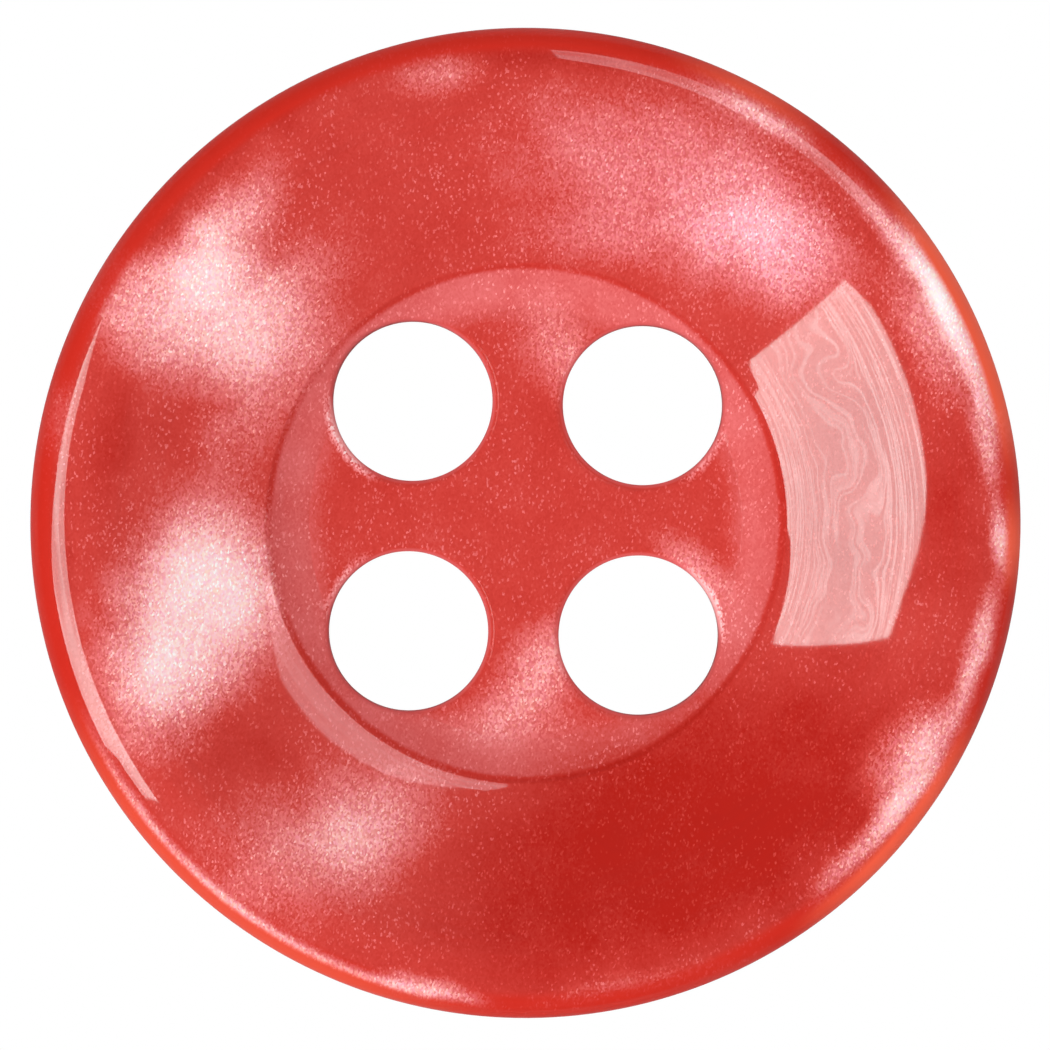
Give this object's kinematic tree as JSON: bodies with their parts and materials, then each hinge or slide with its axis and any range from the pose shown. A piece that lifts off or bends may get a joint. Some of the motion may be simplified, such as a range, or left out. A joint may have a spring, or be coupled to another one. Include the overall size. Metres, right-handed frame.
{
  "type": "four-hole sewing button",
  "caption": "Round sewing button with a rolled lip, dished face and sunken well drilled with sewing holes, glossy red pearl polyester.",
  "frame": {"origin": "middle of the flat back, where the button rests", "axes": "+Z out through the face, +X and +Y along the sides of the square that the holes stand on"},
  "size_m": [0.0116, 0.0116, 0.0024],
  "materials": {
    "pearl_polyester": "polished red polyester with a streaked pearl sheen"
  },
  "bodies": {
    "root": {"button": "pearl_polyester"}
  },
  "joints": []
}
